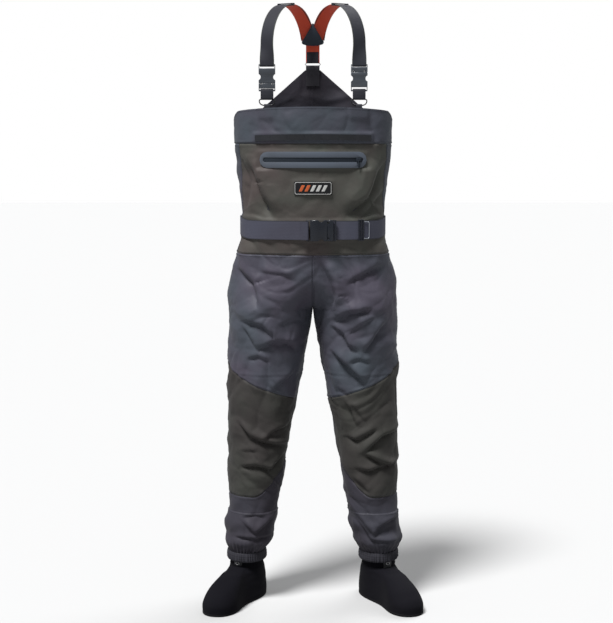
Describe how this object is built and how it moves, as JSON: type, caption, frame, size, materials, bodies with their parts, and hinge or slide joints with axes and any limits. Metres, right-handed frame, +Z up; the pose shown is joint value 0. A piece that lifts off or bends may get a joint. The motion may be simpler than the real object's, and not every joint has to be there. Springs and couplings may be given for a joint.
{
  "type": "chest waders",
  "caption": "Chest waders with sewn fabric panels, neoprene stocking feet, a zipped chest pocket, a wading belt and buckled shoulder braces.",
  "frame": {"origin": "on the ground plane, centred between the feet", "axes": "+Z up from the soles to the braces, the front faces -Y, the wearer's left is +X"},
  "size_m": [0.6036, 0.3401, 1.6498],
  "materials": {
    "charcoal_fabric": "matt woven polyester",
    "dark_charcoal_fabric": "matt woven polyester",
    "olive_fabric": "matt woven polyester",
    "olive_knee_fabric": "matt reinforced weave",
    "hem_elastic": "gathered elastic",
    "neoprene": "matt neoprene with a knit face",
    "neoprene_sole": "matt neoprene",
    "pocket_lining": "thin lining",
    "hook_steel": "plated wire",
    "zip_welt": "satin welded film",
    "zip_coil": "coated zip",
    "black_web": "woven webbing",
    "badge_rubber": "moulded soft badge",
    "belt_web": "woven webbing",
    "black_plastic": "satin moulded acetal",
    "grey_plastic": "satin moulded acetal",
    "black_ring": "satin moulded acetal",
    "brace_web": "woven webbing",
    "orange_web": "woven webbing",
    "back_patch": "laminated patch"
  },
  "bodies": {
    "garment": {"front_yoke": "charcoal_fabric", "front_bib": "olive_fabric", "back_panel": "charcoal_fabric", "high_back": "dark_charcoal_fabric", "chest_zip_welt": "zip_welt", "chest_zip_coil": "zip_coil", "chest_pocket_bag": "pocket_lining", "gear_loop_strip": "black_web", "chest_badge": "badge_rubber", "belt_web": "belt_web", "belt_buckle_socket": "black_plastic", "back_patch_inner": "back_patch", "back_patch_outer": "back_patch", "back_stem_web": "brace_web", "back_flat_ring": "black_ring", "high_back_tab": "brace_web", "thigh_front_left": "charcoal_fabric", "back_leg_left": "charcoal_fabric", "knee_panel_left": "olive_knee_fabric", "shin_panel_left": "dark_charcoal_fabric", "gravel_guard_left": "dark_charcoal_fabric", "hem_elastic_left": "hem_elastic", "bootie_upper_left": "neoprene", "bootie_sole_left": "neoprene_sole", "lace_hook_left": "hook_steel", "brace_anchor_left": "brace_web", "d_ring_left": "black_ring", "ring_loop_left": "brace_web", "brace_buckle_socket_left": "grey_plastic", "brace_buckle_plug_left": "grey_plastic", "front_strap_left": "brace_web", "back_strap_left": "orange_web", "thigh_front_right": "charcoal_fabric", "back_leg_right": "charcoal_fabric", "knee_panel_right": "olive_knee_fabric", "shin_panel_right": "dark_charcoal_fabric", "gravel_guard_right": "dark_charcoal_fabric", "hem_elastic_right": "hem_elastic", "bootie_upper_right": "neoprene", "bootie_sole_right": "neoprene_sole", "lace_hook_right": "hook_steel", "brace_anchor_right": "brace_web", "d_ring_right": "black_ring", "ring_loop_right": "brace_web", "brace_buckle_socket_right": "grey_plastic", "brace_buckle_plug_right": "grey_plastic", "front_strap_right": "brace_web", "back_strap_right": "orange_web"},
    "zip_slider": {"chest_zip_slider": "zip_coil"},
    "zip_pull": {"chest_zip_pull": "zip_coil"},
    "belt_plug": {"belt_buckle_plug": "black_plastic"},
    "belt_arm_lower": {"belt_buckle_arm_lower": "black_plastic"},
    "belt_arm_upper": {"belt_buckle_arm_upper": "black_plastic"},
    "belt_keeper_slide_body": {"belt_keeper": "black_plastic"},
    "adjuster_left": {"shoulder_adjuster_left": "black_plastic"},
    "brace_arm_a_left": {"brace_buckle_arm_a_left": "grey_plastic"},
    "brace_arm_b_left": {"brace_buckle_arm_b_left": "grey_plastic"},
    "adjuster_right": {"shoulder_adjuster_right": "black_plastic"},
    "brace_arm_a_right": {"brace_buckle_arm_a_right": "grey_plastic"},
    "brace_arm_b_right": {"brace_buckle_arm_b_right": "grey_plastic"}
  },
  "joints": [
    {"name": "chest_zip_slide", "type": "hinge", "parent": "garment", "child": "zip_slider", "pos_m": [0, 0.2685, 1.229], "axis": [0, 0, 1], "range_deg": [-37.9, 0]},
    {"name": "chest_zip_pull_swing", "type": "hinge", "parent": "zip_slider", "child": "zip_pull", "pos_m": [0.12265, -0.08831, 1.229], "axis": [-0.9457, -0.3251, 0], "range_deg": [0, 170]},
    {"name": "belt_buckle_part", "type": "hinge", "parent": "garment", "child": "belt_plug", "pos_m": [0, 0.2685, 1.042], "axis": [0, 0, 1], "range_deg": [0, 4.5]},
    {"name": "belt_arm_lower_squeeze", "type": "hinge", "parent": "belt_plug", "child": "belt_arm_lower", "pos_m": [0.04053, -0.10821, 1.0212], "axis": [-0.0567, 0.9984, 0], "range_deg": [0, 6], "stiffness_Nm_per_rad": 0.3},
    {"name": "belt_arm_upper_squeeze", "type": "hinge", "parent": "belt_plug", "child": "belt_arm_upper", "pos_m": [0.04053, -0.10821, 1.0628], "axis": [0.0567, -0.9984, 0], "range_deg": [0, 6], "stiffness_Nm_per_rad": 0.3},
    {"name": "belt_keeper_travel", "type": "hinge", "parent": "garment", "child": "belt_keeper_slide_body", "pos_m": [0, 0.2685, 1.042], "axis": [0, 0, 1], "range_deg": [-3.8, 0]},
    {"name": "shoulder_adjust_left", "type": "hinge", "parent": "garment", "child": "adjuster_left", "pos_m": [0.06725, 0.03128, 1.53287], "axis": [0.8726, 0.4884, 0], "range_deg": [-5, 40]},
    {"name": "brace_arm_a_squeeze_left", "type": "hinge", "parent": "garment", "child": "brace_arm_a_left", "pos_m": [0.1373, -0.06743, 1.4628], "axis": [0, 1, 0], "range_deg": [0, 6], "stiffness_Nm_per_rad": 0.3},
    {"name": "brace_arm_b_squeeze_left", "type": "hinge", "parent": "garment", "child": "brace_arm_b_left", "pos_m": [0.1077, -0.06743, 1.4628], "axis": [0, -1, 0], "range_deg": [0, 6], "stiffness_Nm_per_rad": 0.3},
    {"name": "shoulder_adjust_right", "type": "hinge", "parent": "garment", "child": "adjuster_right", "pos_m": [-0.06725, 0.03128, 1.53287], "axis": [0.8726, -0.4884, 0], "range_deg": [-5, 40]},
    {"name": "brace_arm_a_squeeze_right", "type": "hinge", "parent": "garment", "child": "brace_arm_a_right", "pos_m": [-0.1373, -0.06743, 1.4282], "axis": [0, 1, 0], "range_deg": [0, 6], "stiffness_Nm_per_rad": 0.3},
    {"name": "brace_arm_b_squeeze_right", "type": "hinge", "parent": "garment", "child": "brace_arm_b_right", "pos_m": [-0.1077, -0.06743, 1.4282], "axis": [0, -1, 0], "range_deg": [0, 6], "stiffness_Nm_per_rad": 0.3}
  ],
  "couplings": [
    {"joint": "belt_arm_upper_squeeze", "follows": "belt_arm_lower_squeeze", "ratio": 1},
    {"joint": "brace_arm_b_squeeze_left", "follows": "brace_arm_a_squeeze_left", "ratio": 1},
    {"joint": "brace_arm_b_squeeze_right", "follows": "brace_arm_a_squeeze_right", "ratio": 1}
  ]
}
